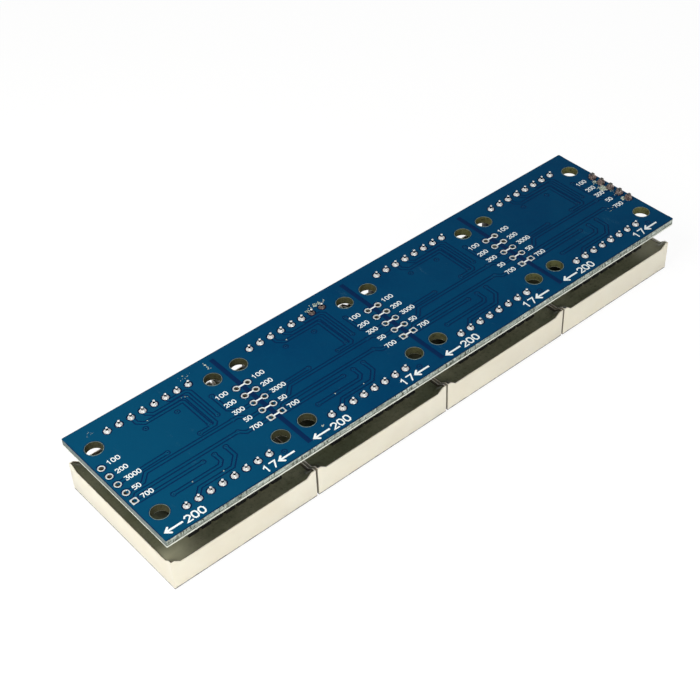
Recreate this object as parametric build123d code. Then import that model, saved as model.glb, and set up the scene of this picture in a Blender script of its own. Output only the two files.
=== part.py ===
"""LED dot matrix display module: four 8 x 8 LED blocks plugged into one driver board.

Millimetres. The module lies on its LED faces, with the board's solder side up.
The origin is at the centre of the footprint, on the plane of the LED faces.
+X runs along the row of blocks, from the output end to the input end, and +Z is up.
"""

from build123d import *
import os

# ---- row of modules and board ----
module_count = 4
module_pitch = 32.0          # one LED block and its driver, along X
board_width = 32.0
board_thickness = 1.6
board_corner_radius = 0.2

# ---- LED block ----
block_side = 31.55           # square housing, a little under the pitch
wall_thickness = 0.3
wall_height = 5.9            # face to the rim between the corners
corner_rise = 0.9            # how far the L-shaped corners stand over the rim
corner_leg = 0.85            # level top of a corner, along each wall
corner_ramp = 1.15           # slope from the corner's top down to the rim
face_plate = 3.3             # depth of the reflector plate
edge_break = 0.2             # bevel round the LED face
post_radius = 0.5            # posts that the inner board stands on

# ---- LED dots ----
dots_per_side = 8
dot_pitch = 4.0
dot_face_radius = 1.5
dot_base_radius = 1.0
dot_recess = 0.1             # lens surface under the face
die_side = 0.35
die_height = 0.3

# ---- inner board, potting and pins of a block ----
inner_board_thickness = 1.0
inner_board_clearance = 0.1
potting_recess = 0.4         # resin surface under the rim
pin_radius = 0.25
pin_pitch = 2.54
pins_per_row = 8
row_spacing = 24.0           # between the two rows of pins
pin_insertion = 2.3          # how far a pin reaches into its socket

# ---- socket strips ----
socket_height = 4.5
socket_width = 2.5
socket_lift = 1.0            # from the rim up to the strip
socket_floor = 0.5           # plastic under the contacts
contact_radius = 0.75
contact_cap = 1.2            # solid end of a contact, over its bore
entry_radius = 0.45
groove_depth = 0.25
groove_half_width = 0.3
foot_gap_width = 0.7         # gap between the strip's feet, under two neighbouring contacts
foot_gap_height = 0.3
tail_radius = 0.23
tail_height = 0.9            # tail over the board's solder side

# ---- plated holes, pads and solder ----
joint_hole_radius = 0.45
joint_base_radius = 0.75
joint_neck_radius = 0.36
joint_height = 0.55
link_hole_radius = 0.5
link_offset = 1.27           # link pads, from the end of each module
link_count = 5
lump_radius = 0.85
lump_height = 0.75

# ---- mounting holes ----
mount_hole_radius = 1.7
mount_inset = 3.0            # from the end of each module
mount_spacing_y = 20.0

# ---- input header ----
header_width = 2.5
header_height = 2.5
header_pin_side = 0.64
header_pin_reach = 2.1       # bare pin under the plastic
header_pin_height = 1.2      # pin over the board's solder side
header_chamfer = 0.4

# ---- driver chip, 24 leads ----
chip_length = 15.4
chip_width = 7.5
chip_height = 2.3
chip_stand = 0.15
chip_draft = 6.0
lead_count = 12              # on each long side
lead_pitch = 1.27
lead_width = 0.42
lead_thickness = 0.25
lead_span = 10.3
lead_foot = 0.8
lead_shoulder = 0.5

# ---- small parts: length, width, height and place in the module ----
resistor_size = (2.0, 1.25, 0.55)
resistor_place = (-11.0, 3.0)
ceramic_size = (2.0, 1.25, 0.95)
ceramic_place = (11.0, 3.2)
tantalum_size = (3.2, 1.6, 1.6)
tantalum_place = (11.0, -2.6)
terminal_length = 0.4
terminal_proud = 0.05

# ---- worked out ----
board_length = module_count * module_pitch
inner_side = block_side - 2 * wall_thickness
corner_height = wall_height + corner_rise
inner_board_z = face_plate + die_height
resin_z = inner_board_z + inner_board_thickness
resin_top = wall_height - potting_recess
socket_z = wall_height + socket_lift
board_z = socket_z + socket_height
board_top = board_z + board_thickness
contact_z = socket_z + socket_floor
pin_top = socket_z + pin_insertion


def row(count, pitch):
    """Places of count things at one pitch, centred on zero."""
    return [(i - (count - 1) / 2) * pitch for i in range(count)]


module_centres = row(module_count, module_pitch)
dot_places = [(x, y) for x in row(dots_per_side, dot_pitch) for y in row(dots_per_side, dot_pitch)]
pin_xs = row(pins_per_row, pin_pitch)
pin_places = [(x, y) for y in (-row_spacing / 2, row_spacing / 2) for x in pin_xs]
link_ys = row(link_count, pin_pitch)
header_x = board_length / 2 - link_offset


def block(length, width, low, high, x=0.0, y=0.0):
    """A box between two heights, centred on x, y."""
    return Pos(x, y, (low + high) / 2) * Box(length, width, high - low)


def rod(radius, low, high, x=0.0, y=0.0):
    """An upright cylinder between two heights."""
    return Pos(x, y, (low + high) / 2) * Cylinder(radius, high - low)


def save(name, pieces):
    """Write one node: a list of separate solids."""
    solids = [solid for piece in pieces for solid in piece.solids()]
    export_step(Compound(children=solids) if len(solids) > 1 else solids[0], f"parts/{name}.step")


# ---------------------------------------------------------------- driver board
def driver_board():
    outline = fillet(Rectangle(board_length, board_width).vertices(), board_corner_radius)
    board = Pos(0, 0, board_z) * extrude(outline, board_thickness)
    mount_x = module_pitch / 2 - mount_inset
    holes = []
    for centre in module_centres:
        holes += [(mount_hole_radius, centre + sx * mount_x, sy * mount_spacing_y / 2)
                  for sx in (-1, 1) for sy in (-1, 1)]
        holes += [(joint_hole_radius, centre + x, y) for x, y in pin_places]
        holes += [(link_hole_radius, centre + s * (module_pitch / 2 - link_offset), y)
                  for s in (-1, 1) for y in link_ys]
    return board - [rod(r, board_z - 1, board_top + 1, x, y) for r, x, y in holes]


# ---------------------------------------------------------------- LED block
def rim_cut():
    """The trapezoid taken out of a wall between two raised corners, across the whole block."""
    half = block_side / 2 - corner_leg
    low = half - corner_ramp
    over = corner_height + 1
    high = half + corner_ramp / corner_rise
    shape = make_face(Polyline((-low, wall_height), (low, wall_height), (high, over), (-high, over),
                               close=True))
    return extrude(Plane.XZ * shape, block_side, both=True)


def matrix_housing():
    shell = Box(block_side, block_side, corner_height, align=(Align.CENTER, Align.CENTER, Align.MIN))
    shell = chamfer(shell.faces().sort_by(Axis.Z)[0].edges(), edge_break)
    shell -= block(inner_side, inner_side, face_plate, corner_height + 1)
    cut = rim_cut()
    shell -= [cut, Rot(0, 0, 90) * cut]
    cup = Cone(dot_face_radius, dot_base_radius, face_plate)
    shell -= [Pos(x, y, face_plate / 2) * cup for x, y in dot_places]
    posts = [(0, 0)] + [(sx * 3 * dot_pitch, sy * 3 * dot_pitch) for sx in (-1, 1) for sy in (-1, 1)]
    return shell + [rod(post_radius, face_plate - 0.5, inner_board_z, x, y) for x, y in posts]


def dot_lenses():
    """Clear resin that fills the reflector cups, just under the face."""
    slope = (dot_face_radius - dot_base_radius) / face_plate
    top = dot_face_radius - slope * dot_recess
    height = face_plate - dot_recess
    lens = Cone(top, dot_base_radius, height)
    return [Pos(x, y, dot_recess + height / 2) * lens for x, y in dot_places]


def led_dice():
    return [block(die_side, die_side, face_plate, inner_board_z, x, y) for x, y in dot_places]


def inner_board():
    side = inner_side - 2 * inner_board_clearance
    return block(side, side, inner_board_z, resin_z) - [
        rod(pin_radius, inner_board_z - 1, resin_z + 1, x, y) for x, y in pin_places]


def potting():
    return block(inner_side, inner_side, resin_z, resin_top) - [
        rod(pin_radius, resin_z - 1, resin_top + 1, x, y) for x, y in pin_places]


def matrix_pins():
    return [rod(pin_radius, inner_board_z, pin_top, x, y) for x, y in pin_places]


# ---------------------------------------------------------------- socket strips
def socket_strip(y):
    length = pins_per_row * pin_pitch
    strip = block(length, socket_width, socket_z, board_z, 0, y)
    strip -= [rod(entry_radius, socket_z - 1, contact_z + 0.01, x, y) for x in pin_xs]
    strip -= [rod(contact_radius, contact_z, board_z + 1, x, y) for x in pin_xs]
    notch = make_face(Polyline((-groove_half_width, 0), (groove_half_width, 0), (0, groove_depth),
                               close=True))
    grooves = []
    for x in row(pins_per_row - 1, pin_pitch):
        for side in (-1, 1):
            cutter = extrude(Pos(0, 0, socket_z - 1) * notch, socket_height + 2)
            turn = Rot(0, 0, 0 if side < 0 else 180)
            grooves.append(Pos(x, y + side * socket_width / 2, 0) * turn * cutter)
    feet = [block(foot_gap_width, socket_width + 1, socket_z - 1, socket_z + foot_gap_height, x, y)
            for x in row(pins_per_row - 1, pin_pitch)]
    return strip - grooves - feet


def contacts():
    """A sleeve that grips the block's pin, with a round tail through the board."""
    sleeve = rod(contact_radius, contact_z, board_z) - rod(pin_radius, contact_z - 1, board_z - contact_cap)
    contact = sleeve + rod(tail_radius, board_z - 0.1, board_top + tail_height)
    return [Pos(x, y, 0) * contact for x, y in pin_places]


def solder_cone(base_radius, neck_radius, height, hole_radius, pin):
    """Solder in one plated hole, with a hollow-sided cone round the pin on the solder side."""
    waist = (base_radius * 0.35 + neck_radius * 0.65, board_top + height * 0.4)
    profile = make_face([
        Polyline((0, board_top + height), (0, board_z), (hole_radius, board_z), (hole_radius, board_top),
                 (base_radius, board_top)),
        Spline((base_radius, board_top), waist, (neck_radius, board_top + height)),
        Line((neck_radius, board_top + height), (0, board_top + height)),
    ])
    joint = revolve(Plane.XZ * profile, Axis.Z)
    return joint - pin


def solder_joints():
    tail = rod(tail_radius, board_z - 1, board_top + joint_height + 1)
    joint = solder_cone(joint_base_radius, joint_neck_radius, joint_height, joint_hole_radius, tail)
    return [Pos(x, y, 0) * joint for x, y in pin_places]


# ---------------------------------------------------------------- input header
def input_header():
    length = link_count * pin_pitch
    low = board_z - header_height
    bar = block(header_width, length, low, board_z)
    notch = make_face(Polyline((-header_chamfer, 0), (header_chamfer, 0), (0, header_chamfer), close=True))
    cutter = extrude(Pos(0, 0, low - 1) * notch, header_height + 2)
    cuts = [block(header_pin_side, header_pin_side, low - 1, board_z + 1, 0, y) for y in link_ys]
    for y in row(link_count - 1, pin_pitch):
        for side in (-1, 1):
            cuts.append(Pos(side * header_width / 2, y, 0) * Rot(0, 0, 90 * side) * cutter)
    return Pos(header_x, 0, 0) * (bar - cuts)


def input_pins():
    low = board_z - header_height - header_pin_reach
    return [block(header_pin_side, header_pin_side, low, board_top + header_pin_height, header_x, y)
            for y in link_ys]


def header_solder():
    pin = block(header_pin_side, header_pin_side, board_z - 1, board_top + lump_height + 1)
    lump = solder_cone(lump_radius, header_pin_side / 2 + 0.25, lump_height, link_hole_radius, pin)
    return [Pos(header_x, y, 0) * lump for y in link_ys]


# ---------------------------------------------------------------- parts on the board's LED side
def driver_chip():
    low = board_z - chip_stand - chip_height
    middle = low + chip_height / 2
    outline = Rectangle(chip_length, chip_width)
    upper = extrude(Pos(0, 0, middle) * outline, chip_height / 2, taper=chip_draft)
    lower = extrude(Pos(0, 0, middle) * outline, -chip_height / 2, taper=chip_draft)
    return upper + lower


def driver_leads():
    """Gull-wing leads, from the middle of the body out and up to flat feet on the board."""
    level = board_z - chip_stand - chip_height / 2
    inner = chip_width / 2
    knee = inner + lead_shoulder
    toe = lead_span / 2
    heel = toe - lead_foot
    half = lead_thickness / 2
    outline = make_face(Polyline(
        (inner, level - half), (knee + half, level - half), (heel + half, board_z - lead_thickness),
        (toe, board_z - lead_thickness), (toe, board_z), (heel - half, board_z),
        (knee - half, level + half), (inner, level + half), close=True))
    lead = extrude(Plane.YZ * outline, lead_width / 2, both=True)
    return [Pos(x, 0, 0) * Rot(0, 0, turn) * lead for turn in (0, 180) for x in row(lead_count, lead_pitch)]


def chip_part(size, place):
    """A two-terminal part soldered flat to the board's LED side."""
    length, width, height = size
    low = board_z - height
    body = block(length - 2 * terminal_length, width, low + terminal_proud, board_z - terminal_proud)
    ends = [block(terminal_length, width + 2 * terminal_proud, low, board_z,
                  side * (length - terminal_length) / 2) for side in (-1, 1)]
    return Pos(place[0], place[1], 0) * (body + ends)


# ---------------------------------------------------------------- write every node
def build():
    os.makedirs("parts", exist_ok=True)
    save("pcb", [driver_board()])
    per_module = {
        "matrix_housing": [matrix_housing()],
        "dot_lenses": dot_lenses(),
        "led_board": [inner_board()],
        "potting": [potting()],
        "matrix_pins": matrix_pins(),
        "socket_front": [socket_strip(-row_spacing / 2)],
        "socket_back": [socket_strip(row_spacing / 2)],
        "socket_contacts": contacts(),
        "driver_chip": [driver_chip()],
        "driver_leads": driver_leads(),
        "current_resistor": [chip_part(resistor_size, resistor_place)],
        "ceramic_capacitor": [chip_part(ceramic_size, ceramic_place)],
        "bulk_capacitor": [chip_part(tantalum_size, tantalum_place)],
    }
    for name, pieces in per_module.items():
        for number, centre in enumerate(module_centres, 1):
            save(f"{name}_{number}", [Pos(centre, 0, 0) * piece for piece in pieces])
    for name, pieces in {"led_dice": led_dice(), "solder_joints": solder_joints()}.items():
        save(name, [Pos(centre, 0, 0) * piece for centre in module_centres for piece in pieces])
    save("input_header", [input_header()])
    save("input_pins", input_pins())
    save("header_solder", header_solder())


build()
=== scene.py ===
"""Looks of the LED dot matrix display module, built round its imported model.

Metres. The module lies on its LED faces with the board's solder side up. Places on one module are
given in millimetres: across from its output end, and back from the board's centre line.
"""

import math
import random

import bmesh
import bpy
from mathutils import Matrix, Vector, noise


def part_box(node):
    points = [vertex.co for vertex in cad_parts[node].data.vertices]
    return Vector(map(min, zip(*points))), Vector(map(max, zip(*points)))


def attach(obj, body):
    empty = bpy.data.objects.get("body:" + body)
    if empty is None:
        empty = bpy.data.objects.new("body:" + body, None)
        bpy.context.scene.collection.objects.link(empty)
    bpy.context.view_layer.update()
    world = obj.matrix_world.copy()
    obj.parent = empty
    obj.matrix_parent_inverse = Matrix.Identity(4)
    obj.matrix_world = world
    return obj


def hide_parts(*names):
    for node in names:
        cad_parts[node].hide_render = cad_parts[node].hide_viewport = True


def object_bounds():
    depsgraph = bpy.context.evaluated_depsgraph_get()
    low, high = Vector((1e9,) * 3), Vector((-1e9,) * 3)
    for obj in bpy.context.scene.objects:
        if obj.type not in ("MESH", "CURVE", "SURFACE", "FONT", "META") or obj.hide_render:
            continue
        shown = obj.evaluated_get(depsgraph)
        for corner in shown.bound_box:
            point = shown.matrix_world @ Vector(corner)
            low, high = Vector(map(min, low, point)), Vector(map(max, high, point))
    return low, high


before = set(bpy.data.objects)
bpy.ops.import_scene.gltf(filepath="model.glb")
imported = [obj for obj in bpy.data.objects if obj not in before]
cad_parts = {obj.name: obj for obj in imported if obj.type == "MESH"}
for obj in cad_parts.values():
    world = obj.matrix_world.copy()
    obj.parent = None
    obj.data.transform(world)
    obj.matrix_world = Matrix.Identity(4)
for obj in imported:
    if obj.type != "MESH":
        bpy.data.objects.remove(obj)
cad_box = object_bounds()
noise.seed_set(12)              # without this, noise_vector starts from the clock

MM = 0.001
FULL_TURN = 2 * math.pi

# ---- places from the frame ----
board_low, board_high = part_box("pcb")
board_top = board_high.z
blocks = [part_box(f"matrix_housing_{number}") for number in range(1, 5)]
module_pitch = (blocks[3][0].x - blocks[0][0].x) / 3
module_starts = [board_low.x + number * module_pitch for number in range(4)]
tail_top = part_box("socket_contacts_1")[1].z
resin_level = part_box("potting_1")[1].z
corner_top = blocks[0][1].z
header_x = (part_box("input_pins")[0].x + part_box("input_pins")[1].x) / 2

# ---- copper, mask and print: heights over the laminate ----
copper_height = 0.045 * MM
print_low = 0.035 * MM
print_height = 0.062 * MM
shaft_height = 0.058 * MM
track_width = 0.46 * MM
clearance = 0.27 * MM
pour_margin = 0.5 * MM          # bare strip at each end of a module
margin_reach = 14.6 * MM        # how far that strip runs from the centre line
edge_margin = 0.15 * MM         # bare strip along the board's long edges

# ---- plated holes ----
pin_pitch = 2.54 * MM
row_offset = 12 * MM            # rows of solder joints, from the centre line
pins_per_row = 8
link_inset = 1.27 * MM          # link pads, from the end of a module
mount_inset = 3 * MM
mount_offset = 10 * MM
mount_radius = 1.7 * MM
mount_ring = 1.78 * MM
joint_ring = 0.92 * MM          # bare ring round a solder joint
link_radius = 0.72 * MM
link_hole = 0.47 * MM
via_radius = 0.4 * MM

# ---- tracks on one module: points in millimetres ----
TRACKS = {
    "row_a": [(12.19, 12), (12.19, 10.2), (13.3, 9.1), (21.3, 9.1), (21.6, 8.8), (21.6, 0.95)],
    "row_b": [(14.73, 12), (14.73, 10.95), (15.73, 9.95), (22.3, 9.95), (22.67, 9.58), (22.67, 0.72),
              (22.25, 0.3), (19.05, 0.3)],
    "row_c": [(19.81, 12), (19.81, 11.0), (19.93, 10.88), (23.4, 10.88), (24.05, 10.23), (24.05, 2.0)],
    "data_in": [(26.2, 6.53), (26.2, 1.8), (27.95, 0.05), (30.73, 0)],
    "data_out": [(1.27, 0), (1.45, 0.15), (11.9, 0.35)],
    "select": [(1.27, -2.54), (4.83, -2.54), (6.4, -0.97), (26.4, -0.97), (27.97, -2.54), (30.73, -2.54)],
    "clock": [(1.27, -5.08), (2.38, -3.97), (24.19, -3.97), (25.3, -5.08), (30.73, -5.08)],
    "clock_tap": [(1.27, -5.08), (1.87, -5.68), (15.2, -5.68)],
    "segment_a": [(7.07, -8.3), (16.95, -8.3), (17.75, -7.5), (17.75, -5.58)],
    "segment_b": [(20.35, -5.42), (20.35, -8.1), (18.35, -10.1), (11.3, -10.1), (9.65, -11.75), (9.65, -12)],
}
VIAS = [(21.6, 0.95), (19.05, 0.3), (24.05, 2.0), (26.2, 6.53), (11.9, 0.35), (25.2, -0.97),
        (24.15, -3.97), (15.2, -5.68), (7.07, -8.3), (17.75, -5.58), (20.35, -5.42), (12.57, 7.87),
        (27.2, -13.3), (19.2, 7.5)]

# ---- printed numbers: text, first stroke across, centre back, (height, stroke, stretch), in millimetres ----
SMALL = (1.1, 0.18, 0.92)
THIN = (1.1, 0.18, 1.0)
LARGE = (1.75, 0.29, 1.0)
WIDE = (1.75, 0.29, 1.15)
LABELS = [
    ("100", 2.75, 5.4, THIN), ("200", 2.75, 2.68, SMALL), ("3000", 3.0, 0.18, SMALL),
    ("50", 2.75, -2.52, SMALL), ("700", 2.75, -5.05, SMALL),
    ("100", 26.35, 5.4, THIN), ("200", 26.35, 2.68, SMALL), ("300", 26.35, 0.18, SMALL),
    ("50", 26.8, -2.52, SMALL), ("700", 26.35, -5.05, SMALL),
    ("200", 5.15, -14.45, LARGE), ("17", 21.75, -14.45, WIDE),
]
ARROWS = [(1.05, 4.6), (25.15, 28.55)]      # tip and tail, across
ARROW_BACK = -14.4
ARROW_HEAD = (0.8, 0.68)                # length, half width
ARROW_STROKE = 0.4
ARROW_NECK = 0.3                         # from the tip to the start of the shaft

# Each digit is one stroke in a unit box.
DIGITS = {
    "0": [(0, 0.25), (0, 0.75), (0.25, 1), (0.75, 1), (1, 0.75), (1, 0.25), (0.75, 0), (0.25, 0), (0, 0.25)],
    "1": [(0.15, 0.75), (0.55, 1), (0.55, 0)],
    "2": [(0, 0.8), (0.25, 1), (0.75, 1), (1, 0.8), (1, 0.6), (0, 0), (1, 0)],
    "3": [(0, 1), (1, 1), (0.45, 0.6), (0.75, 0.6), (1, 0.42), (1, 0.2), (0.75, 0), (0.2, 0), (0, 0.15)],
    "5": [(1, 1), (0.1, 1), (0, 0.6), (0.7, 0.6), (1, 0.42), (1, 0.2), (0.75, 0), (0, 0)],
    "7": [(0, 1), (1, 1), (0.35, 0)],
}
DIGIT_WIDTH = 0.5704                     # shares of a digit's height
DIGIT_STEP = 0.817
LINK_LINE = (0.62, 0.34)                 # half length, stroke


# ================================================================ mesh helpers
def place(start, across, back, height=0.0):
    """A point on a module, from millimetres across and back and a height over the laminate."""
    return Vector((start + across * MM, back * MM, board_top + height))


def finished(name, bm, materials, angle=40, replaces=()):
    """Makes a piece from a bmesh, rides it on the module and returns it."""
    mesh = bpy.data.meshes.new(name)
    bm.to_mesh(mesh)
    bm.free()
    for attribute in [a for a in mesh.attributes if a.name == "custom_normal"]:
        mesh.attributes.remove(attribute)
    for material in materials:
        mesh.materials.append(material)
    mesh.shade_smooth()
    mesh.set_sharp_from_angle(angle=math.radians(angle))
    piece = bpy.data.objects.new(name, mesh)
    bpy.context.scene.collection.objects.link(piece)
    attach(piece, "root")
    if replaces:
        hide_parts(*replaces)
    return piece


def stamp(bm, mesh, matrix):
    """Adds a copy of a mesh, moved by a matrix."""
    start = len(bm.verts)
    bm.from_mesh(mesh)
    bm.verts.ensure_lookup_table()
    bmesh.ops.transform(bm, matrix=matrix, verts=bm.verts[start:])


def template(build, *args):
    """A mesh to stamp, made by a function that fills a bmesh."""
    bm = bmesh.new()
    build(bm, *args)
    mesh = bpy.data.meshes.new(build.__name__)
    bm.to_mesh(mesh)
    bm.free()
    return mesh


def turned(bm, profile, steps):
    """A closed profile of (radius, height) points, turned round Z into a ring or a solid."""
    verts = [bm.verts.new((radius, 0, height)) for radius, height in profile]
    edges = [bm.edges.new((a, b)) for a, b in zip(verts, verts[1:])]
    bmesh.ops.spin(bm, geom=verts + edges, cent=(0, 0, 0), axis=(0, 0, 1), angle=FULL_TURN, steps=steps,
                   use_merge=True)
    bmesh.ops.remove_doubles(bm, verts=bm.verts, dist=1e-7)
    bmesh.ops.recalc_face_normals(bm, faces=bm.faces)
    if bm.calc_volume(signed=True) < 0:
        bmesh.ops.reverse_faces(bm, faces=bm.faces)


def mitre(before, point, after, half):
    """The sideways step of a strip's edge at one of its points."""
    into = (point - before).normalized() if before else None
    out = (after - point).normalized() if after else None
    along = (into or out) if not (into and out) else (into + out).normalized()
    side = Vector((-along.y, along.x, 0))
    across = into or out
    return side * half / max(0.5, side.dot(Vector((-across.y, across.x, 0))))


def strip(bm, points, width, low, high, rounded=False):
    """A flat strip along a line of points, with mitred corners, from one height to another."""
    half = width / 2
    closed = (points[0] - points[-1]).length < 1e-9
    stations = []
    for index, point in enumerate(points):
        before = points[index - 1] if index else (points[-2] if closed else None)
        after = points[index + 1] if index + 1 < len(points) else (points[1] if closed else None)
        stations.append((point, mitre(before, point, after, half)))
    if rounded and not closed:
        for end, inner in ((0, 1), (-1, -2)):
            point, side = stations[end]
            outward = (points[end] - points[inner]).normalized()
            caps = [(point + outward * half * math.sin(math.radians(a)), side * math.cos(math.radians(a)))
                    for a in (35, 65, 85)]
            stations = caps[::-1] + stations if end == 0 else stations + caps
    start = len(bm.verts)
    edge = None
    for point, side in stations:
        pair = [bm.verts.new(point + side), bm.verts.new(point - side)]
        if edge:
            bm.faces.new((edge[1], pair[1], pair[0], edge[0]))
        edge = pair
    bm.verts.ensure_lookup_table()
    verts = bm.verts[start:]
    if closed:
        bmesh.ops.remove_doubles(bm, verts=verts, dist=1e-8)
        bm.verts.ensure_lookup_table()
        verts = bm.verts[start:]
    for vert in verts:
        vert.co.z = board_top + low
    faces = list(dict.fromkeys(face for vert in verts for face in vert.link_faces))
    raised = bmesh.ops.extrude_face_region(bm, geom=faces, use_keep_orig=True)["geom"]
    lifted = [part for part in raised if isinstance(part, bmesh.types.BMVert)]
    bmesh.ops.translate(bm, vec=(0, 0, high - low), verts=lifted)
    bm.verts.ensure_lookup_table()
    solid = list(dict.fromkeys(face for vert in bm.verts[start:] for face in vert.link_faces))
    bmesh.ops.recalc_face_normals(bm, faces=solid)


def disc(bm, centre, radius, low, high, segments=28):
    """A flat upright disc."""
    spot = Matrix.Translation((centre.x, centre.y, board_top + (low + high) / 2))
    bmesh.ops.create_cone(bm, cap_ends=True, segments=segments, radius1=radius, radius2=radius,
                          depth=high - low, matrix=spot)


def box(bm, low, high):
    """An upright box between two corners."""
    size = Vector(high) - Vector(low)
    middle = (Vector(high) + Vector(low)) / 2
    bmesh.ops.create_cube(bm, size=1, matrix=Matrix.Translation(middle) @ Matrix.Diagonal((*size, 1)))


def softened(name, nodes, width, materials, segments=2, limit=40, replaces=None):
    """Copies of CAD nodes with their loose triangles merged and their sharp edges rounded."""
    bm = bmesh.new()
    for node in nodes:
        bm.from_mesh(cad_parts[node].data)
    bmesh.ops.remove_doubles(bm, verts=bm.verts, dist=2e-7)
    bmesh.ops.dissolve_limit(bm, angle_limit=math.radians(0.5), verts=bm.verts, edges=bm.edges)
    sharp = [edge for edge in bm.edges if edge.is_manifold and edge.calc_face_angle() > math.radians(limit)]
    bmesh.ops.bevel(bm, geom=sharp, offset=width, offset_type="OFFSET", affect="EDGES", segments=segments,
                    profile=0.5, material=-1, clamp_overlap=True)
    for face in bm.faces:
        face.material_index = 0
    return finished(name, bm, materials, angle=50, replaces=replaces or nodes)


# ================================================================ finishes
def linear(red, green, blue):
    """A display colour, 0 to 255, as the linear value that a shader takes."""
    shares = [value / 255 for value in (red, green, blue)]
    return (*(s / 12.92 if s <= 0.04045 else ((s + 0.055) / 1.055) ** 2.4 for s in shares), 1.0)


class Finish:
    """One node material: a Principled shader and the patterns that feed it."""

    def __init__(self, name, colour, roughness=0.5, **values):
        self.material = bpy.data.materials.new(name)
        self.material.use_nodes = True
        self.nodes = self.material.node_tree.nodes
        self.links = self.material.node_tree.links
        self.shader = self.nodes["Principled BSDF"]
        self.colour = colour
        self.shader.inputs["Base Color"].default_value = colour
        self.shader.inputs["Roughness"].default_value = roughness
        self.material.diffuse_color = colour
        for socket, value in values.items():
            self.shader.inputs[socket.replace("_", " ")].default_value = value
        self.place = self.nodes.new("ShaderNodeTexCoord").outputs["Object"]
        self.height = None

    def node(self, kind, inputs=(), **settings):
        """A node with its settings made and its inputs set or linked."""
        node = self.nodes.new(kind)
        for key, value in settings.items():
            setattr(node, key, value)
        for key, value in dict(inputs).items():
            if isinstance(value, bpy.types.NodeSocket):
                self.links.new(value, node.inputs[key])
            else:
                node.inputs[key].default_value = value
        return node

    def noise(self, size, detail=4.0, roughness=0.6, stretch=(1, 1, 1)):
        """Noise whose lumps are about size metres across."""
        turned_place = self.node("ShaderNodeMapping", {"Vector": self.place, "Scale": stretch}).outputs[0]
        inputs = {"Vector": turned_place, "Scale": 1 / size, "Detail": detail, "Roughness": roughness}
        return self.node("ShaderNodeTexNoise", inputs).outputs["Fac"]

    def cells(self, size):
        """Distance to scattered points about size metres apart."""
        points = self.node("ShaderNodeTexVoronoi", {"Vector": self.place, "Scale": 1 / size})
        return points.outputs["Distance"]

    def axis(self, letter):
        """One coordinate of the place on the piece, in metres."""
        return self.node("ShaderNodeSeparateXYZ", {"Vector": self.place}).outputs[letter]

    def facing(self, letter):
        """One part of the surface's own direction, from -1 to 1."""
        normal = self.node("ShaderNodeTexCoord").outputs["Normal"]
        return self.node("ShaderNodeSeparateXYZ", {"Vector": normal}).outputs[letter]

    def size(self, value):
        """A value without its sign."""
        return self.node("ShaderNodeMath", {0: value}, operation="ABSOLUTE").outputs[0]

    def inward(self, ragged=0.0):
        """Distance in from the nearest side of an LED block, made uneven by up to ragged."""
        half = (blocks[0][1].x - blocks[0][0].x) / 2
        shifted = self.times(self.axis("X"), module_pitch / 2, "ADD")
        across = self.node("ShaderNodeMath", {0: shifted, 1: module_pitch / 2, 2: -module_pitch / 2},
                           operation="WRAP").outputs[0]
        reach = self.times(self.size(across), self.size(self.axis("Y")), "MAXIMUM")
        uneven = self.steps(self.noise(0.9 * MM, 4, 0.7), 0.3, 0.7, -ragged, ragged)
        return self.times(self.times(half, reach, "SUBTRACT"), uneven, "ADD")

    def steps(self, value, low, high, to_low=0.0, to_high=1.0):
        """A share that runs from to_low to to_high as value runs from low to high."""
        return self.node("ShaderNodeMapRange", {"Value": value, "From Min": low, "From Max": high,
                                                "To Min": to_low, "To Max": to_high}).outputs["Result"]

    def times(self, a, b, operation="MULTIPLY"):
        """Two shares multiplied, or joined by another operation."""
        return self.node("ShaderNodeMath", {0: a, 1: b}, operation=operation).outputs[0]

    def tint(self, share, colour):
        """Mixes a colour into the base colour by a share."""
        mix = self.node("ShaderNodeMix", {"Factor": share}, data_type="RGBA")
        mix.inputs["B"].default_value = colour
        sockets = [socket for socket in mix.inputs if socket.type == "RGBA"]
        sockets[1].default_value = colour
        if isinstance(self.colour, bpy.types.NodeSocket):
            self.links.new(self.colour, sockets[0])
        else:
            sockets[0].default_value = self.colour
        self.colour = next(socket for socket in mix.outputs if socket.type == "RGBA")
        self.links.new(self.colour, self.shader.inputs["Base Color"])
        return self

    def gloss(self, share, low, high):
        """Roughness that runs from low to high with a share."""
        self.links.new(self.steps(share, 0, 1, low, high), self.shader.inputs["Roughness"])
        return self

    def relief(self, share, depth):
        """Bump of a depth in metres, on top of any bump before it."""
        bump = self.node("ShaderNodeBump", {"Height": share, "Distance": depth, "Strength": 1.0})
        if self.height:
            self.links.new(self.height, bump.inputs["Normal"])
        self.height = bump.outputs["Normal"]
        self.links.new(self.height, self.shader.inputs["Normal"])
        return self


def mask_over_copper():
    """Blue solder mask over copper: satin, a little uneven, with faint wipe marks and dust, and painted light
    that turns it lighter and more teal towards the left end.
    """
    f = Finish("blue_mask", linear(2, 64, 101), 0.34, Specular_IOR_Level=0.06)
    f.tint(f.steps(f.noise(9 * MM, 3), 0.35, 0.7), linear(1, 58, 96))
    # painted light: the mask turns lighter and more teal towards the left end
    f.tint(f.steps(f.axis("X"), -20 * MM, -50 * MM, 0, 0.6), linear(7, 76, 106))
    f.tint(f.steps(f.noise(0.35 * MM, 3), 0.45, 0.8, 0, 0.35), linear(4, 73, 110))
    smear = f.times(f.steps(f.noise(4 * MM, 6, 0.75, (1, 0.35, 1)), 0.62, 0.75, 0, 0.3),
                    f.steps(f.noise(0.25 * MM, 2), 0.45, 0.65))
    f.tint(smear, linear(92, 140, 160))
    f.gloss(f.noise(2.2 * MM, 5), 0.24, 0.44)
    f.relief(f.noise(0.5 * MM, 3), 0.006 * MM)
    return f.relief(f.noise(3.5 * MM, 2), 0.03 * MM).material


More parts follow.
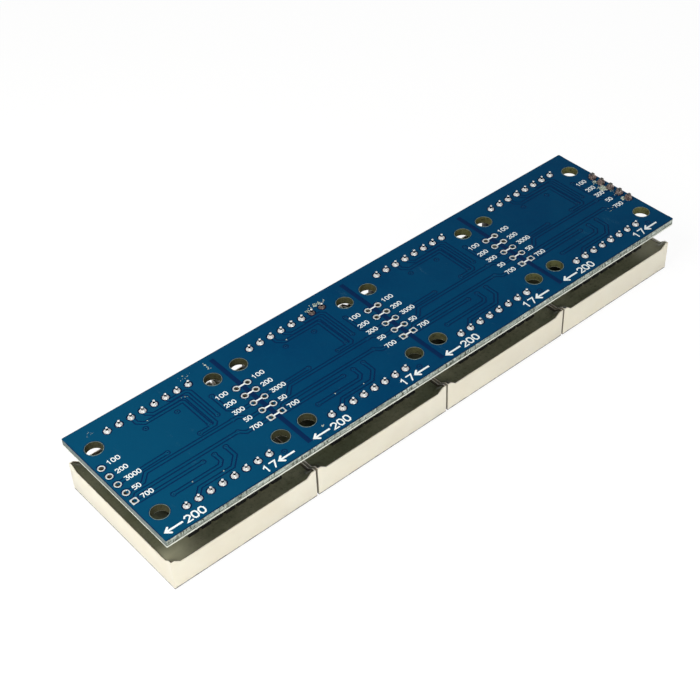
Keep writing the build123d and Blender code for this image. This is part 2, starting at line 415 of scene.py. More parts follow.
def laminate_and_mask():
    """The bare board: mask straight on the laminate above and below, and cut glass fibre round the edge."""
    f = Finish("board", linear(3, 38, 80), 0.36, Specular_IOR_Level=0.12)
    level = f.facing("Z")
    end = f.times(f.facing("X"), f.facing("X"))
    side = f.times(f.steps(level, 0.5, 0.3), f.steps(level, -0.5, -0.3))
    above_foot = f.times(f.axis("Z"), board_low.z, "SUBTRACT")
    clump = f.noise(2.5 * MM, 3)
    dash = f.noise(0.38 * MM, 2, 0.5, (1, 1, 0.3))
    streak = f.noise(0.3 * MM, 4, 0.7, (0.16, 0.16, 1))
    fine = f.noise(0.16 * MM, 3, 0.7)
    f.tint(f.steps(level, -0.6, -0.9), linear(6, 60, 98))
    f.tint(side, linear(160, 170, 161))
    f.tint(f.times(side, f.steps(streak, 0.5, 0.62)), linear(216, 226, 218))
    f.tint(f.times(side, f.steps(streak, 0.47, 0.37, 0, 0.8)), linear(98, 106, 94))
    dark = f.times(f.steps(dash, 0.5, 0.58), f.steps(clump, 0.42, 0.55, 0.2, 0.95))
    f.tint(f.times(side, dark), linear(62, 70, 58))
    f.tint(f.times(side, f.steps(fine, 0.56, 0.66, 0, 0.5)), linear(84, 92, 80))
    f.tint(f.times(f.times(side, end), f.steps(fine, 0.3, 0.6, 0.7, 0.92)), linear(92, 110, 109))
    groove = f.times(f.steps(above_foot, 0.34 * MM, 0.4 * MM), f.steps(above_foot, 0.6 * MM, 0.5 * MM))
    f.tint(f.times(f.times(side, groove), f.steps(streak, 0.4, 0.55, 0.3, 0.9)), linear(76, 74, 62))
    foot = f.times(side, f.steps(above_foot, 0.36 * MM, 0.28 * MM))
    f.tint(f.times(foot, f.steps(clump, 0.35, 0.5, 0.55, 0.95)), linear(236, 240, 230))
    f.tint(f.times(side, f.steps(above_foot, 1.5 * MM, 1.56 * MM)), linear(24, 58, 76))
    f.relief(f.times(side, dash), 0.1 * MM)
    return f.relief(f.noise(0.5 * MM, 3), 0.004 * MM).material


def bare_laminate():
    """Olive glass fibre on the wall of a screw hole."""
    f = Finish("hole_wall", linear(66, 66, 46), 0.75, Specular_IOR_Level=0.2)
    f.tint(f.steps(f.axis("X"), -20 * MM, 60 * MM, 0, 0.8), linear(118, 120, 74))
    f.tint(f.steps(f.noise(0.4 * MM, 5, 0.7, (1, 1, 4)), 0.4, 0.7, 0, 0.6), linear(96, 96, 70))
    f.tint(f.steps(f.noise(0.9 * MM, 4, 0.7), 0.5, 0.7, 0, 0.8), linear(40, 42, 30))
    return f.relief(f.noise(0.3 * MM, 4), 0.03 * MM).material


def white_print():
    f = Finish("white_print", linear(240, 246, 246), 0.55, Specular_IOR_Level=0.3)
    f.tint(f.steps(f.noise(0.25 * MM, 4), 0.55, 0.8, 0, 0.4), linear(200, 216, 222))
    return f.relief(f.noise(0.15 * MM, 3), 0.01 * MM).material


def solder(name, colour, dull, roughness, ripple, metallic):
    """Solder: bright, with a duller crust in patches."""
    f = Finish(name, colour, roughness, Metallic=metallic)
    patches = f.steps(f.noise(1.2 * MM, 3), 0.5, 0.75)
    f.tint(patches, dull)
    f.gloss(patches, roughness, roughness + 0.2)
    return f.relief(f.noise(0.3 * MM, 3), ripple).material


def burnt_solder():
    """Hand-made solder: grey and copper brown under burnt flux, with dry pale spots."""
    f = Finish("burnt_solder", linear(156, 134, 126), 0.3, Metallic=0.6, Coat_Weight=0.6, Coat_Roughness=0.1)
    f.tint(f.steps(f.noise(0.5 * MM, 4, 0.65), 0.45, 0.62), linear(74, 58, 54))
    f.tint(f.steps(f.noise(0.3 * MM, 4, 0.7), 0.54, 0.68, 0, 0.85), linear(214, 200, 194))
    f.tint(f.steps(f.noise(0.22 * MM, 3, 0.7), 0.62, 0.7, 0, 0.9), linear(24, 26, 26))
    f.gloss(f.noise(0.35 * MM, 4), 0.12, 0.5)
    return f.relief(f.noise(0.25 * MM, 4), 0.05 * MM).material


def pad_tin():
    """Tinned pads: pale on top, with painted shade darkening them down the hole."""
    f = Finish("pad_tin", linear(232, 236, 234), 0.42, Metallic=0.3)
    f.tint(f.steps(f.noise(0.3 * MM, 4), 0.4, 0.75), linear(206, 212, 212))
    # painted shade: the tin darkens step by step going down into the hole
    f.tint(f.steps(f.axis("Z"), board_top - 0.02 * MM, board_top - 0.12 * MM), linear(112, 112, 106))
    f.tint(f.steps(f.axis("Z"), board_top - 0.3 * MM, board_top - 0.9 * MM), linear(36, 38, 34))
    return f.relief(f.noise(0.2 * MM, 3), 0.01 * MM).material


def tinned():
    """Tinned pins and tails: grey, with drawn lines along them."""
    f = Finish("tinned", linear(178, 176, 168), 0.34, Metallic=0.95)
    f.tint(f.steps(f.noise(0.5 * MM, 4, 0.6, (1, 1, 0.2)), 0.45, 0.75), linear(120, 116, 106))
    return f.relief(f.noise(0.12 * MM, 3, 0.6, (1, 1, 0.15)), 0.006 * MM).material


def contact_metal():
    """Socket contacts: dark tin, with a painted dark reflection on the tails where they stand above the
    board.
    """
    f = Finish("contact_metal", linear(84, 84, 88), 0.38, Metallic=0.85)
    f.tint(f.steps(f.noise(0.3 * MM, 4), 0.4, 0.7), linear(46, 46, 50))
    # painted reflection: the tails above the board turn nearly black, as if mirroring dark surroundings
    f.tint(f.steps(f.axis("Z"), board_top + 0.1 * MM, board_top + 0.3 * MM, 0, 0.9), linear(12, 14, 20))
    return f.relief(f.noise(0.1 * MM, 3), 0.01 * MM).material


def ivory_plastic():
    """Ivory moulded plastic: black face print round the front, resin stains inside the rim, and painted shade
    on the block sides in the gaps between blocks.
    """
    face = blocks[0][0].z
    f = Finish("ivory_plastic", linear(246, 241, 224), 0.42, Specular_IOR_Level=0.4,
               Subsurface_Weight=0.08, Subsurface_Scale=0.6 * MM)
    f.shader.inputs["Subsurface Radius"].default_value = (1.0, 0.8, 0.5)
    f.tint(f.steps(f.noise(11 * MM, 3), 0.35, 0.7), linear(241, 234, 215))
    f.tint(f.steps(f.noise(0.8 * MM, 5, 0.7, (1, 1, 0.5)), 0.6, 0.8, 0, 0.3), linear(226, 214, 190))
    edge = f.noise(0.9 * MM, 4, 0.7)
    print_line = f.times(f.axis("Z"), f.steps(edge, 0.3, 0.7, -0.08 * MM, 0.08 * MM), "ADD")
    front = f.steps(print_line, face + 0.4 * MM, face + 0.36 * MM)
    f.tint(front, linear(26, 26, 28))
    above_resin = f.steps(f.axis("Z"), resin_level - MM, resin_level)
    stained = f.times(f.steps(f.inward(0.04 * MM), 0.15 * MM, 0.2 * MM), above_resin)
    far_end = f.steps(f.axis("X"), board_high.x - 1.1 * MM, board_high.x - 0.9 * MM, 0.9, 0.0)
    f.tint(f.times(stained, far_end), linear(66, 56, 38))
    # painted shade: the block sides that face each other across the gaps between blocks are darkened brown
    inside_row = f.steps(f.size(f.axis("X")), board_high.x - 0.5 * MM, board_high.x - MM)
    shaded_gap_faces = f.steps(f.times(f.size(f.facing("X")), inside_row), 0.6, 0.9)
    f.tint(f.times(shaded_gap_faces, f.steps(f.inward(), 0.12 * MM, -0.05 * MM, 0, 0.9)), linear(84, 70, 50))
    f.gloss(f.noise(1.5 * MM, 4), 0.36, 0.5)
    return f.relief(f.noise(0.4 * MM, 4), 0.008 * MM).material


def dark_resin():
    """Potting resin: dark olive, glossy, clouded, with fine settled dust; painted light at the front of both
    ends of the row, and painted shade near the left end and along the walls.
    """
    f = Finish("dark_resin", linear(104, 108, 84), 0.2, Specular_IOR_Level=0.5, Coat_Weight=0.25,
               Coat_Roughness=0.1)
    f.tint(f.steps(f.noise(9 * MM, 4), 0.42, 0.62), linear(130, 130, 106))
    f.tint(f.steps(f.noise(0.6 * MM, 5, 0.7), 0.5, 0.75, 0, 0.7), linear(72, 75, 56))
    # painted shade: the resin darkens near the left end of the row
    f.tint(f.steps(f.axis("X"), board_low.x + 4 * MM, board_low.x + 2 * MM, 0, 0.6), linear(76, 76, 60))
    specks = f.steps(f.cells(1.1 * MM), 0.07, 0.03)
    f.tint(f.times(specks, f.steps(f.noise(3 * MM, 2), 0.5, 0.6)), linear(168, 164, 146))
    # painted light: the resin is lighter towards both ends of the row on the front side
    painted_light_ends = f.steps(f.size(f.axis("X")), 54 * MM, 60 * MM, 0, 0.75)
    f.tint(f.times(painted_light_ends, f.steps(f.axis("Y"), -10 * MM, -13 * MM)), linear(166, 164, 138))
    # painted shade: a dark band in the resin along the inside of the walls
    f.tint(f.steps(f.inward(0.05 * MM), 0.5 * MM, 0.4 * MM, 0, 0.85), linear(44, 40, 28))
    f.gloss(f.noise(1.6 * MM, 5), 0.12, 0.34)
    f.relief(f.noise(6 * MM, 2), 0.05 * MM)
    return f.relief(f.noise(0.4 * MM, 3), 0.006 * MM).material


def black_plastic(name, colour, roughness):
    f = Finish(name, colour, roughness, Specular_IOR_Level=0.4)
    f.tint(f.steps(f.noise(1.2 * MM, 4), 0.45, 0.75, 0, 0.5), linear(44, 44, 46))
    f.gloss(f.noise(0.6 * MM, 4), roughness - 0.06, roughness + 0.12)
    return f.relief(f.noise(0.12 * MM, 3), 0.012 * MM).material


def plain(name, colour, roughness, second, size=0.5 * MM, **values):
    """A finish of one colour, clouded with a second and finely grained."""
    f = Finish(name, colour, roughness, **values)
    f.tint(f.steps(f.noise(size, 4), 0.4, 0.75), second)
    return f.relief(f.noise(size / 3, 3), 0.01 * MM).material


def residue():
    """Flux residue: pale, dry and crumbly."""
    f = Finish("flux_residue", linear(196, 204, 190), 0.75)
    f.tint(f.steps(f.noise(0.3 * MM, 4), 0.42, 0.62), linear(126, 142, 128))
    return f.relief(f.noise(0.15 * MM, 4), 0.04 * MM).material


blue = mask_over_copper()
board = laminate_and_mask()
hole_wall = bare_laminate()
white = white_print()
bright_solder = solder("bright_solder", linear(252, 253, 253), linear(238, 240, 242), 0.33, 0.0004 * MM, 0.55)
pale_tin = pad_tin()
dull_solder = solder("dull_solder", linear(150, 134, 128), linear(84, 70, 66), 0.34, 0.02 * MM, 0.8)
burnt = burnt_solder()
pin_tin = tinned()
tip_tin = plain("tip_tin", linear(244, 246, 246), 0.3, linear(222, 226, 228), 0.2 * MM, Metallic=0.25)
contact_tin = contact_metal()
ivory = ivory_plastic()
resin = dark_resin()
socket_plastic = black_plastic("socket_plastic", linear(18, 18, 20), 0.4)
chip_plastic = black_plastic("chip_plastic", linear(26, 26, 28), 0.55)
flux = residue()
navy = plain("navy_mask", linear(3, 22, 58), 0.4, linear(6, 28, 66), Specular_IOR_Level=0.1)
ring_pale = plain("hole_ring", linear(122, 144, 138), 0.5, linear(86, 112, 112))
lens = plain("milky_resin", linear(224, 220, 206), 0.3, linear(212, 208, 192), 0.8 * MM,
             Subsurface_Weight=0.2, Subsurface_Scale=0.5 * MM)
green_board = plain("inner_laminate", linear(150, 140, 96), 0.6, linear(128, 120, 80))
resistor_body = plain("resistor_body", linear(24, 24, 28), 0.4, linear(36, 36, 40))
ceramic_body = plain("ceramic_body", linear(176, 146, 108), 0.5, linear(158, 128, 92))
capacitor_body = plain("capacitor_body", linear(206, 158, 58), 0.5, linear(190, 140, 46))
die_glow = plain("led_die", linear(196, 190, 120), 0.3, linear(168, 160, 96), 0.1 * MM)


# ================================================================ board surface
def joint_places(start):
    """Plated holes of one module's two pin rows, front row first."""
    first = start + module_pitch / 2 - (pins_per_row - 1) / 2 * pin_pitch
    return [Vector((first + i * pin_pitch, side * row_offset, board_top))
            for side in (-1, 1) for i in range(pins_per_row)]


def link_places(start):
    """Link pads of one module: output end, then input end, front to back."""
    return [[Vector((x, i * pin_pitch, board_top)) for i in range(-2, 3)]
            for x in (start + link_inset, start + module_pitch - link_inset)]


def mount_places(start):
    return [Vector((x, side * mount_offset, board_top))
            for x in (start + mount_inset, start + module_pitch - mount_inset) for side in (-1, 1)]


def track_points(start, name):
    return [place(start, across, back) for across, back in TRACKS[name]]


def cut_pour(start):
    """One module's copper pour: a thin slab with the bare gaps round tracks, pads and holes cut out."""
    slab = bmesh.new()
    box(slab, (start, board_low.y + edge_margin, board_top),
        (start + module_pitch, board_high.y - edge_margin, board_top + copper_height))
    cutter = bmesh.new()
    low, high = -0.1 * MM, 0.2 * MM
    for end in (start, start + module_pitch):
        box(cutter, (end - pour_margin, -margin_reach, board_top + low),
            (end + pour_margin, margin_reach, board_top + high))
    for name in TRACKS:
        strip(cutter, track_points(start, name), track_width + 2 * clearance, low, high, rounded=True)
    for across, back in VIAS:
        disc(cutter, place(start, across, back), via_radius + clearance * 0.8, low, high, 20)
    for spot in joint_places(start):
        disc(cutter, spot, joint_ring, low, high, 24)
    for spot in sum(link_places(start), []):
        disc(cutter, spot, link_radius + clearance, low, high, 24)
    for spot in mount_places(start):
        disc(cutter, spot, mount_ring + 0.12 * MM, low, high, 40)
    parts = []
    for name, bm in (("slab", slab), ("cutter", cutter)):
        mesh = bpy.data.meshes.new(name)
        bm.to_mesh(mesh)
        bm.free()
        parts.append(bpy.data.objects.new(name, mesh))
        bpy.context.scene.collection.objects.link(parts[-1])
    pour, tool = parts
    cut = pour.modifiers.new("cut", "BOOLEAN")
    cut.operation, cut.object, cut.solver, cut.use_self = "DIFFERENCE", tool, "EXACT", True
    bpy.context.view_layer.update()
    graph = bpy.context.evaluated_depsgraph_get()
    mesh = bpy.data.meshes.new_from_object(pour.evaluated_get(graph))
    for part in parts:
        bpy.data.objects.remove(part)
    return mesh


def copper():
    """Pour and tracks of all four modules under the blue mask."""
    pour = cut_pour(module_starts[0])
    bm = bmesh.new()
    for start in module_starts:
        stamp(bm, pour, Matrix.Translation((start - module_starts[0], 0, 0)))
    for near, far in ((board_low.x + edge_margin, board_low.x + pour_margin),
                      (board_high.x - pour_margin, board_high.x - edge_margin)):
        box(bm, (near, -margin_reach, board_top), (far, margin_reach, board_top + copper_height))
    finished("masked_pour", bm, [blue], angle=30)
    bm = bmesh.new()
    for start in module_starts:
        for name in TRACKS:
            strip(bm, track_points(start, name), track_width, 0, copper_height)
    finished("masked_tracks", bm, [blue], angle=30)


def via_ring(bm):
    """A masked via: a low ring with a dimple in it."""
    rise = copper_height + 0.01 * MM
    turned(bm, [(via_radius, 0), (via_radius - 0.04 * MM, rise), (0.2 * MM, rise), (0.14 * MM, 0.012 * MM),
                (0.14 * MM, 0)], 16)


def vias():
    """Via rings, the dark laminate in their middles, and painted shade round the solder joints, where the
    bare ring is darkened to navy.
    """
    joint_shade_height, centre_height, centre_radius = 0.01 * MM, 0.014 * MM, 0.15 * MM
    ring = template(via_ring)
    rings, centres = bmesh.new(), bmesh.new()
    for start in module_starts:
        for spot in joint_places(start):
            # painted shade: a navy disc darkens the bare ring round each solder joint
            disc(centres, spot, joint_ring - 0.03 * MM, 0, joint_shade_height, 24)
        for across, back in VIAS:
            spot = place(start, across, back)
            stamp(rings, ring, Matrix.Translation(spot))
            disc(centres, spot, centre_radius, 0, centre_height, 12)
    finished("via_rings", rings, [blue], angle=60)
    finished("via_centres_and_joint_shade", centres, [navy])


def mount_rings():
    """The pale ring and the bare wall of each screw hole."""
    def ring(bm):
        rise = copper_height
        inner = mount_radius - 0.005 * MM
        bevel = mount_ring - 0.03 * MM
        turned(bm, [(inner, 0), (inner, rise), (bevel, rise), (mount_ring, 0), (inner, 0)], 48)

    def wall(bm):
        depth = board_low.z - board_top
        outer, inner = mount_radius - 0.001 * MM, mount_radius - 0.03 * MM
        turned(bm, [(outer, depth + 0.02 * MM), (inner, depth + 0.05 * MM), (inner, -0.03 * MM),
                    (outer, -0.005 * MM), (outer, depth + 0.02 * MM)], 48)

    for name, shape, material in (("mount_rings", ring, ring_pale), ("mount_hole_walls", wall, hole_wall)):
        bm = bmesh.new()
        mesh = template(shape)
        for start in module_starts:
            for spot in mount_places(start):
                stamp(bm, mesh, Matrix.Translation(spot))
        finished(name, bm, [material], angle=35)


def link_pads():
    """Tinned link pads with plated holes: round, and square for the front one of each five."""
    bm = bmesh.new()
    depth = board_low.z - board_top - 0.03 * MM
    rise = copper_height + 0.02 * MM

    def eyelet(bm):
        turned(bm, [(link_radius, 0), (link_radius - 0.05 * MM, rise), (link_hole + 0.05 * MM, rise),
                    (link_hole, rise - 0.05 * MM), (link_hole, depth), (link_radius, depth),
                    (link_radius, depth + 0.03 * MM), (link_hole + 0.09 * MM, depth + 0.03 * MM),
                    (link_hole + 0.09 * MM, 0), (link_radius, 0)], 28)

    def square_eyelet(bm):
        eyelet(bm)
        for vert in bm.verts:
            reach = max(abs(vert.co.x), abs(vert.co.y))
            radius = math.hypot(vert.co.x, vert.co.y)
            if radius > link_hole + 0.1 * MM and reach > 0:
                vert.co.xy = vert.co.xy * (radius / reach) * 0.97

    round_pad, square_pad = template(eyelet), template(square_eyelet)
    for number, start in enumerate(module_starts):
        for end, column in enumerate(link_places(start)):
            if number == 3 and end == 1:
                continue
            for index, spot in enumerate(column):
                stamp(bm, square_pad if index == 0 else round_pad, Matrix.Translation(spot))
    finished("link_pads", bm, [pale_tin], angle=35)


def white_print_pieces():
    """Printed numbers, arrows and the lines between linked pads."""
    bm = bmesh.new()
    for number, start in enumerate(module_starts):
        for text, across, back, (height, stroke, stretch) in LABELS:
            for index, digit in enumerate(text):
                left = across + index * DIGIT_STEP * height * stretch
                wide, high = DIGIT_WIDTH * height * stretch, height - stroke
                points = [place(start, left + u * wide, back + (v - 0.5) * high) for u, v in DIGITS[digit]]
                strip(bm, points, stroke * MM, print_low, print_height, rounded=True)
        for tip, tail in ARROWS:
            length, half = ARROW_HEAD
            head = [place(start, tip + length, ARROW_BACK + half), place(start, tip, ARROW_BACK),
                    place(start, tip + length, ARROW_BACK - half)]
            shaft = [place(start, tip + ARROW_NECK, ARROW_BACK), place(start, tail, ARROW_BACK)]
            strip(bm, head, ARROW_STROKE * MM, print_low, print_height, rounded=True)
            strip(bm, shaft, ARROW_STROKE * MM, print_low, shaft_height)
        if number:
            for index in range(5):
                back = (index - 2) * pin_pitch / MM
                half, stroke = LINK_LINE
                line = [place(start, -half, back), place(start, half, back)]
                strip(bm, line, stroke * MM, print_low, shaft_height)
    finished("printed_numbers", bm, [white], angle=30)


# ================================================================ solder
def solder_cone(bm):
    """A cone of solder round a tail, rounded at its foot and hollow above, closed under the mask."""
    profile = [(0, -0.02), (0.64, -0.02), (0.68, 0.01), (0.66, 0.08), (0.6, 0.16), (0.52, 0.22), (0.42, 0.27),
               (0.33, 0.33), (0.27, 0.41), (0.24, 0.47), (0, 0.48)]
    turned(bm, [(radius * MM, height * MM) for radius, height in profile], 24)


def tail_tip(bm):
    """A bead of bright tin on the end of a tail."""
    profile = [(0, -0.06), (0.235, -0.06), (0.25, -0.02), (0.23, 0.03), (0.17, 0.07), (0.08, 0.09),
               (0, 0.095)]
    turned(bm, [(radius * MM, height * MM) for radius, height in profile], 14)


def solder_joints():
    """One cone for each pin of each block, no two alike, and the dull ones of the second block's back row."""
    cone, tip = template(solder_cone), template(tail_tip)
    draw = random.Random(12)
    bright, dull, tips = bmesh.new(), bmesh.new(), bmesh.new()
    for number, start in enumerate(module_starts):
        for index, spot in enumerate(joint_places(start)):
            spoiled = number == 1 and index >= 14
            size = Vector((draw.uniform(0.95, 1.05), draw.uniform(0.95, 1.05), draw.uniform(0.85, 1.05)))
            lean = Matrix.Shear("XY", 4, (draw.uniform(-0.08, 0.08), draw.uniform(-0.08, 0.08)))
            turn = Matrix.Rotation(draw.uniform(0, FULL_TURN), 4, "Z")
            stamp(dull if spoiled else bright, cone,
                  Matrix.Translation(spot) @ lean @ turn @ Matrix.Diagonal((*size, 1)))
            stamp(tips, tip, Matrix.Translation((spot.x, spot.y, tail_top)))
    for bm in (bright, dull):
        for vert in bm.verts:
            push = noise.noise_vector(vert.co / (1.1 * MM)) * 0.02 * MM
            vert.co += Vector((push.x, push.y, 0))
    finished("tail_tips", tips, [tip_tin], angle=80)
    finished("solder_cones", bright, [bright_solder], angle=60, replaces=["solder_joints"])
    finished("dull_solder_cones", dull, [dull_solder], angle=60)


def header_lumps():
    """Hand-made lumps on the input pins: uneven, brown with old flux."""
    draw = random.Random(5)
    wide, high, top = 0.78 * MM, 1.15 * MM, 1.18 * MM
    bm = bmesh.new()
    for index in range(5):
        spot = Vector((header_x, (index - 2) * pin_pitch, board_top))
        start = len(bm.verts)
        bmesh.ops.create_icosphere(bm, subdivisions=4, radius=1)
        bm.verts.ensure_lookup_table()
        grown = bm.verts[start:]
        seed = Vector((index * 7.3, 1.7, 3.1))
        for vert in grown:
            direction = vert.co.copy()
            swell = 1 + 0.45 * noise.noise(direction * 1.7 + seed)
            swell += 0.22 * noise.noise(direction * 4.5 + seed)
            peak = max(0.0, direction.z) ** 3
            vert.co.x = direction.x * swell * wide * (1 - 0.5 * peak)
            vert.co.y = direction.y * swell * wide * (1 - 0.5 * peak)
            vert.co.z = min(top, max(-0.01 * MM, direction.z * swell * high))
        shift = Vector((draw.uniform(-0.12, 0.02) * MM, draw.uniform(-0.1, 0.1) * MM, 0))
        bmesh.ops.translate(bm, verts=grown, vec=spot + shift)
    finished("header_lumps", bm, [burnt], angle=70, replaces=["header_solder"])


def flux_crumbs():
    """Dried flux in patches: crumbs pressed flat on the mask."""
    def crumb(bm):
        bmesh.ops.create_icosphere(bm, subdivisions=2, radius=1)

    patches = [
        # module, across, back, spread across, spread back, crumbs, largest
        (3, 29.6, 1.1, 0.7, 0.7, 46, 0.42), (3, 30.2, 3.6, 0.8, 0.5, 18, 0.24),
        (3, 29.9, -4.4, 0.5, 0.6, 22, 0.3), (3, 30.4, -1.6, 0.6, 0.9, 16, 0.2),
        (1, 24.6, 13.4, 1.4, 0.5, 30, 0.2), (1, 22.0, 12.9, 0.6, 0.4, 14, 0.2),
        (0, 30.3, 13.9, 0.35, 0.9, 16, 0.14), (0, 4.3, 13.6, 0.9, 0.5, 10, 0.1),
        (0, 25.5, 14.0, 2.2, 0.7, 14, 0.1), (3, 25.4, -4.9, 1.2, 0.6, 10, 0.1),
        (0, 22.6, 9.6, 0.5, 0.3, 8, 0.12), (1, 4.2, -13.0, 0.2, 0.15, 5, 0.22),
    ]
    specks = [(11.1, -8.2), (16.6, -9.8), (13.9, 9.3)]
    draw = random.Random(31)
    shape = template(crumb)
    bm = bmesh.new()

    def drop(spot, radius):
        size = [radius * draw.uniform(*limits) for limits in ((0.7, 1.3), (0.7, 1.3), (0.2, 0.5))]
        stamp(bm, shape, Matrix.Translation(spot) @ Matrix.Rotation(draw.uniform(0, FULL_TURN), 4, "Z")
              @ Matrix.Diagonal((*size, 1)))

    for module, across, back, wide, deep, count, largest in patches:
        for _ in range(count):
            across_here, back_here = across + draw.gauss(0, wide / 2), back + draw.gauss(0, deep / 2)
            spot = place(module_starts[module], across_here, back_here, copper_height)
            drop(spot, draw.uniform(0.25, 1) * largest * MM)
    for start in module_starts[:2]:
        for across, back in specks:
            drop(place(start, across, back, copper_height), 0.13 * MM)
    for vert in bm.verts:
        push = noise.noise_vector(vert.co / (0.12 * MM)) * 0.05 * MM
        vert.co += Vector((push.x, push.y, push.z * 0.3))
    finished("flux_crumbs", bm, [flux], angle=60)


# ================================================================ LED blocks
def potted_resin():
    """The resin in the back of each block: it creeps up the walls, into the corners and up the pins."""
    cells = 124
    sag = 0.14 * MM                  # how far the middle lies under the level at the walls
    creep, creep_reach, creep_limit = 0.2 * MM, 0.4 * MM, 0.24 * MM
    cling, cling_reach, pin_reach = 0.3 * MM, 0.2 * MM, 0.25 * MM
    corner_reach = 1.25 * MM
    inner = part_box("potting_1")
    side = inner[1].x - inner[0].x
    corner_climb = corner_top - resin_level - 0.03 * MM
    for number, (low, high) in enumerate(blocks, 1):
        centre = (low + high) / 2
        bm = bmesh.new()
        bmesh.ops.create_grid(bm, x_segments=cells, y_segments=cells, size=side / 2)
        pins = [(spot.x - centre.x, spot.y - centre.y) for spot in joint_places(centre.x - module_pitch / 2)]
        for vert in bm.verts:
            x, y = vert.co.x, vert.co.y
            wall_x, wall_y = side / 2 - abs(x), side / 2 - abs(y)
            climb = creep * (math.exp(-wall_x / creep_reach) + math.exp(-wall_y / creep_reach))
            corner = math.exp(-(math.hypot(wall_x, wall_y) / corner_reach) ** 2) * corner_climb
            wave = noise.noise(Vector((x + number * 0.1, y, 0)) / (7 * MM)) * 0.04 * MM
            nearest = min(math.hypot(x - px, y - py) for px, py in pins)
            collar = cling * math.exp(-max(0.0, nearest - pin_reach) / cling_reach)
            vert.co.z = resin_level + max(corner, min(climb, creep_limit) + wave - sag, collar - sag)
        rim_edges = [edge for edge in bm.edges if edge.is_boundary]
        skirt = bmesh.ops.extrude_edge_only(bm, edges=rim_edges)["geom"]
        for vert in skirt:
            if isinstance(vert, bmesh.types.BMVert):
                vert.co.z = inner[0].z
        bmesh.ops.contextual_create(bm, geom=[e for e in bm.edges if e.is_boundary])
        bmesh.ops.recalc_face_normals(bm, faces=bm.faces)
        bmesh.ops.translate(bm, verts=bm.verts, vec=(centre.x, centre.y, 0))
        finished(f"potted_resin_{number}", bm, [resin], angle=50,
                 replaces=[f"potting_{number}"])


def housings():
    for number in range(1, 5):
        softened(f"housing_{number}", [f"matrix_housing_{number}"], 0.06 * MM, [ivory])


def sockets():
    for row_name in ("front", "back"):
        for number in range(1, 5):
            node = f"socket_{row_name}_{number}"
            softened(f"{node}_strip", [node], 0.07 * MM, [socket_plastic], segments=1)


def chips():
    for number in range(1, 5):
        softened(f"chip_body_{number}", [f"driver_chip_{number}"], 0.08 * MM, [chip_plastic])


def dress(prefix, material):
    """Gives CAD nodes whose shape is right their finish."""
    for name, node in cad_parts.items():
        if name.startswith(prefix):
            node.data.materials.clear()
            node.data.materials.append(material)


# ================================================================ studio
def studio():
    """A plain pale floor and four soft lamps: a key at the output end, two in front and one overhead."""
    glow_strength, glow_share = 1.1, 0.8         # the floor's own light, where it is seen
    bm = bmesh.new()
    bmesh.ops.create_grid(bm, x_segments=1, y_segments=1, size=6)
    mesh = bpy.data.meshes.new("floor")
    bm.to_mesh(mesh)
    bm.free()
    floor = bpy.data.objects.new("floor", mesh)
    floor.location.z = cad_box[0][2] - 0.00002
    bpy.context.scene.collection.objects.link(floor)
    pale = bpy.data.materials.new("floor_white")
    pale.use_nodes = True
    nodes, links = pale.node_tree.nodes, pale.node_tree.links
    shader = nodes["Principled BSDF"]
    shader.inputs["Base Color"].default_value = (0.86, 0.86, 0.86, 1)
    shader.inputs["Roughness"].default_value = 0.9
    shader.inputs["Specular IOR Level"].default_value = 0.0
    glow = nodes.new("ShaderNodeEmission")
    glow.inputs["Strength"].default_value = glow_strength
    seen = nodes.new("ShaderNodeMath")
    seen.operation = "MULTIPLY"
    seen.inputs[1].default_value = glow_share
    direct = nodes.new("ShaderNodeMath")
    direct.operation = "MAXIMUM"
    path = nodes.new("ShaderNodeLightPath")
    links.new(path.outputs["Is Camera Ray"], direct.inputs[0])
    links.new(path.outputs["Is Glossy Ray"], direct.inputs[1])
    links.new(direct.outputs[0], seen.inputs[0])
    mix = nodes.new("ShaderNodeMixShader")
    links.new(seen.outputs[0], mix.inputs["Fac"])
    links.new(shader.outputs[0], mix.inputs[1])
    links.new(glow.outputs[0], mix.inputs[2])
    links.new(mix.outputs[0], nodes["Material Output"].inputs["Surface"])
    mesh.materials.append(pale)

    lamps = [
        # name, place, size, power, colour
        ("key", (-0.148, 0.0, 0.172), 0.14, 0.31, (1.0, 0.98, 0.93)),
        ("front", (-0.12, -0.6, 0.42), 0.6, 1.76, (1.0, 0.985, 0.94)),
        ("low_front", (-0.05, -0.6, 0.1), 0.5, 0.85, (1.0, 0.985, 0.94)),
        ("top", (0.05, 0.1, 0.9), 0.6, 1.3, (0.94, 0.97, 1.0)),
    ]
    for name, spot, size, power, colour in lamps:
        lamp = bpy.data.lights.new(name, "AREA")
        lamp.size, lamp.energy, lamp.color = size, power, colour
        holder = bpy.data.objects.new(name, lamp)
        holder.location = spot
        holder.rotation_euler = (-Vector(spot)).to_track_quat("-Z", "Y").to_euler()
        holder.visible_glossy = name in ("front", "top")
        bpy.context.scene.collection.objects.link(holder)


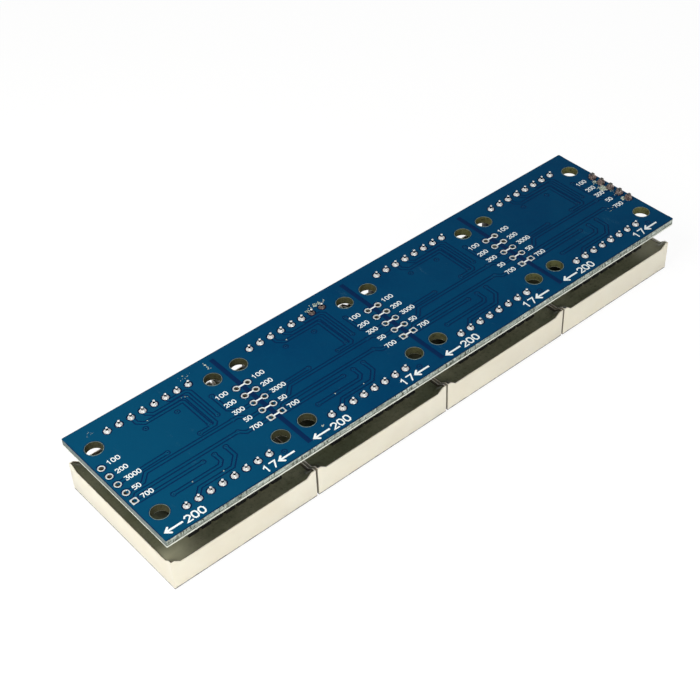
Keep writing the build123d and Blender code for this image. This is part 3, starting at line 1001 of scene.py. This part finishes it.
def pale_world():
    """White where it is seen; in gloss, pale low down at the back and dark elsewhere; dim as a light."""
    world = bpy.data.worlds.new("studio")
    bpy.context.scene.world = world
    world.use_nodes = True
    nodes, links = world.node_tree.nodes, world.node_tree.links
    background = nodes["Background"]
    direction = nodes.new("ShaderNodeTexCoord")
    parts = nodes.new("ShaderNodeSeparateXYZ")
    height, depth = nodes.new("ShaderNodeMapRange"), nodes.new("ShaderNodeMapRange")
    for ramp, values in ((height, (0.2, 0.55, 0.6, 0.08)), (depth, (-0.35, 0.35, 0.12, 1.0))):
        for socket, value in zip(("From Min", "From Max", "To Min", "To Max"), values):
            ramp.inputs[socket].default_value = value
    mirrored = nodes.new("ShaderNodeMath")
    mirrored.operation = "MULTIPLY"
    path = nodes.new("ShaderNodeLightPath")
    in_gloss, in_view, through = (nodes.new("ShaderNodeMix") for _ in range(3))
    links.new(direction.outputs["Generated"], parts.inputs[0])
    links.new(parts.outputs["Z"], height.inputs["Value"])
    links.new(parts.outputs["Y"], depth.inputs["Value"])
    links.new(height.outputs["Result"], mirrored.inputs[0])
    links.new(depth.outputs["Result"], mirrored.inputs[1])
    in_gloss.inputs["A"].default_value = 0.2
    links.new(path.outputs["Is Glossy Ray"], in_gloss.inputs["Factor"])
    links.new(mirrored.outputs[0], in_gloss.inputs["B"])
    for mix, before, ray in ((in_view, in_gloss, "Is Camera Ray"), (through, in_view, "Is Transmission Ray")):
        links.new(path.outputs[ray], mix.inputs["Factor"])
        links.new(before.outputs["Result"], mix.inputs["A"])
        mix.inputs["B"].default_value = 1.0
    background.inputs["Color"].default_value = (1, 1, 1, 1)
    links.new(through.outputs["Result"], background.inputs["Strength"])


def camera():
    """Looks down on the solder side from the front left, with a slight roll."""
    right = Vector((0.75601, -0.65368, -0.03384))
    up = Vector((0.45676, 0.48981, 0.74260))
    back = -Vector((0.46885, 0.57687, -0.66888))
    lens_data = bpy.data.cameras.new("camera")
    lens_data.lens = 73.44
    lens_data.sensor_width = 36
    lens_data.clip_start = 0.01
    view = bpy.data.objects.new("camera", lens_data)
    turn = Matrix((right, up, back)).transposed().to_4x4()
    view.matrix_world = Matrix.Translation((-0.1366, -0.1554, 0.1919)) @ turn
    bpy.context.scene.collection.objects.link(view)
    bpy.context.scene.camera = view


# ================================================================ build
bpy.context.scene.view_settings.view_transform = "Standard"
camera()
studio()
pale_world()

dress("pcb", board)
dress("dot_lenses", lens)
dress("led_board", green_board)
dress("matrix_pins", pin_tin)
dress("socket_contacts", contact_tin)
dress("driver_leads", pin_tin)
dress("current_resistor", resistor_body)
dress("ceramic_capacitor", ceramic_body)
dress("bulk_capacitor", capacitor_body)
dress("led_dice", die_glow)
dress("input_header", socket_plastic)
dress("input_pins", pin_tin)

copper()
vias()
mount_rings()
link_pads()
white_print_pieces()
solder_joints()
header_lumps()
flux_crumbs()
potted_resin()
housings()
sockets()
chips()
